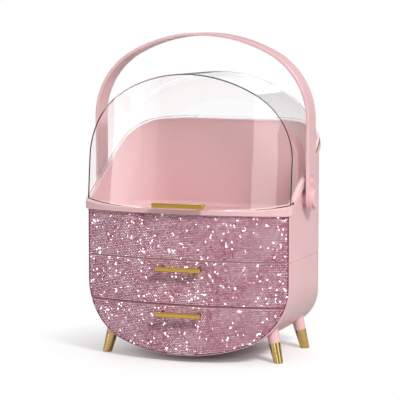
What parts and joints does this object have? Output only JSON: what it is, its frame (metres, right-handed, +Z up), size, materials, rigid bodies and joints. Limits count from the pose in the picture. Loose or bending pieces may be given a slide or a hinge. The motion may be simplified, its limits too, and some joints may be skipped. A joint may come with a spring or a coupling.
{
  "type": "makeup storage case with handle",
  "caption": "Upright makeup case with bowed rhinestone fronts, pull-out drawers, a deep upper bin under a clear hinged lid, a fold-down carrying handle and splayed gold-tipped legs.",
  "frame": {"origin": "on the floor, under the middle of the bounding box", "axes": "+X to the object's right seen from the front, +Y to the back, +Z up; drawers open toward -Y"},
  "size_m": [0.3234, 0.2262, 0.441],
  "materials": {
    "pink_plastic": "satin injection-moulded plastic",
    "clear_plastic": null,
    "rhinestones": "faceted stones on a sheet",
    "gold_metal": "polished gold-coloured metal",
    "steel": "plain steel"
  },
  "bodies": {
    "case": {"upper_bin": "pink_plastic", "lower_cabinet": "pink_plastic", "drawer_shelf": "pink_plastic", "band_panel": "pink_plastic", "band_rhinestones": "rhinestones", "pivot_pin_left": "pink_plastic", "pivot_pin_right": "pink_plastic", "pivot_washers": "pink_plastic", "hinge_pins": "steel", "leg_studs": "steel", "leg_tip_front_left": "gold_metal", "leg_tip_front_right": "gold_metal", "leg_tip_rear_left": "gold_metal", "leg_tip_rear_right": "gold_metal", "leg_socket_front_left": "pink_plastic", "leg_socket_front_right": "pink_plastic", "leg_socket_rear_left": "pink_plastic", "leg_socket_rear_right": "pink_plastic"},
    "lid": {"lid_cover": "clear_plastic", "lid_bar": "gold_metal", "lid_bar_screws": "gold_metal"},
    "handle": {"handle_strap": "pink_plastic"},
    "drawer_1": {"drawer_1_tray": "pink_plastic", "drawer_1_front": "pink_plastic", "drawer_1_rhinestones": "rhinestones", "drawer_1_bar": "gold_metal", "drawer_1_bar_screws": "steel"},
    "drawer_2": {"drawer_2_tray": "pink_plastic", "drawer_2_front": "pink_plastic", "drawer_2_rhinestones": "rhinestones", "drawer_2_bar": "gold_metal", "drawer_2_bar_screws": "steel"}
  },
  "joints": [
    {"name": "lid_hinge", "type": "hinge", "parent": "case", "child": "lid", "pos_m": [0, 0.1095, 0.3045], "axis": [-1, 0, 0], "range_deg": [0, 18]},
    {"name": "handle_fold", "type": "hinge", "parent": "case", "child": "handle", "pos_m": [0, -0.01, 0.2186], "axis": [-1, 0, 0], "range_deg": [-90, 90]},
    {"name": "drawer_1_slide", "type": "slide", "parent": "case", "child": "drawer_1", "axis": [0, -1, 0], "range_m": [0, 0.13]},
    {"name": "drawer_2_slide", "type": "slide", "parent": "case", "child": "drawer_2", "axis": [0, -1, 0], "range_m": [0, 0.13]}
  ]
}
